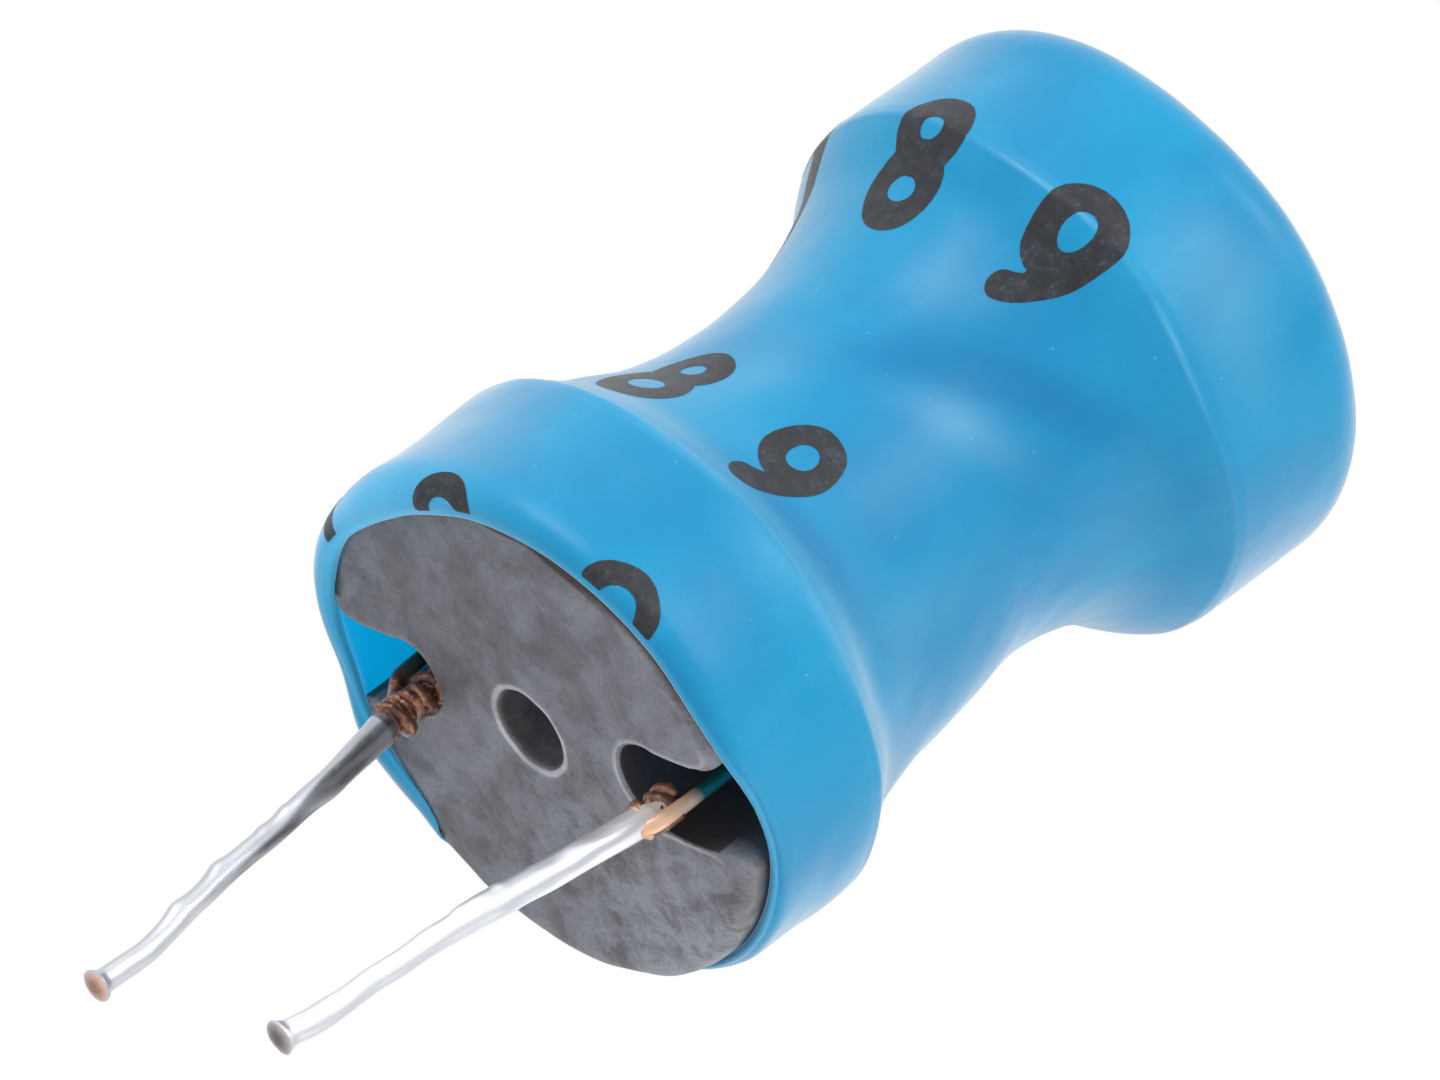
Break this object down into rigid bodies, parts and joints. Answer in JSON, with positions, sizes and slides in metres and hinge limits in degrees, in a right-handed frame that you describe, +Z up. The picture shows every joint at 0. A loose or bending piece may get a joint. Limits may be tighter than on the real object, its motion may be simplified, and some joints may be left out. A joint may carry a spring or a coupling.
{
  "type": "ferrite inductor",
  "caption": "Radial ferrite inductor: a waisted drum core with a wire winding under a blue shrunk sleeve, and soldered leads out of notches in its base.",
  "frame": {"origin": "on the drum's axis in the core's base face, at the mouth of the centre hole", "axes": "+Z up the drum's axis with the leads towards -Z, +X along the line of the two lead notches towards lead B"},
  "size_m": [0.0096, 0.0096, 0.0218],
  "materials": {
    "ferrite": "sintered, matt",
    "copper_wire": "enamelled copper",
    "solder": "bright dip-soldered",
    "shrink_sleeve": "satin"
  },
  "bodies": {
    "root": {"drum_core": "ferrite", "winding": "copper_wire", "lead_a": "solder", "lead_b": "solder", "sleeve": "shrink_sleeve"}
  },
  "joints": []
}
